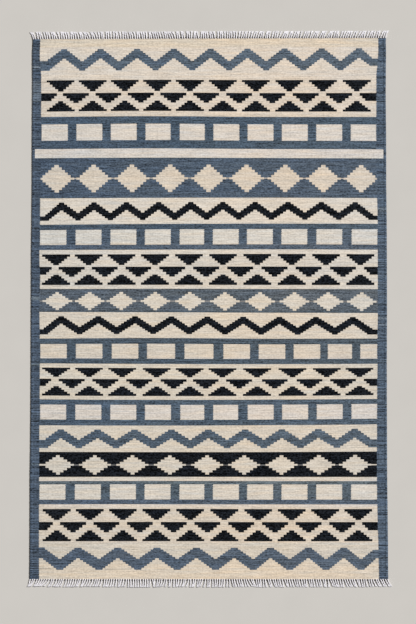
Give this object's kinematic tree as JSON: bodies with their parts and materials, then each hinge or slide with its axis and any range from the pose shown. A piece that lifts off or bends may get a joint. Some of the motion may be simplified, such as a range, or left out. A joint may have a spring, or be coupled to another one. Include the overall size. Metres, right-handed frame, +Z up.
{
  "type": "afghan kilim",
  "caption": "Flat-woven wool kilim rug lying flat, with woven side borders, bands of stepped motifs and a short cotton fringe on both ends.",
  "frame": {"origin": "on the floor, under the middle of the whole outline, fringe included", "axes": "+X across the rug towards its right side, +Y along it towards its upper end, +Z up from the floor"},
  "size_m": [1.229, 1.8772, 0.0042],
  "materials": {
    "kilim_wool": "weft-faced flat weave in cream, slate blue and black wool",
    "fringe_cotton": "plied bleached cotton warp ends"
  },
  "bodies": {
    "root": {"kilim_cloth": "kilim_wool", "fringe_top": "fringe_cotton", "fringe_bottom": "fringe_cotton"}
  },
  "joints": []
}
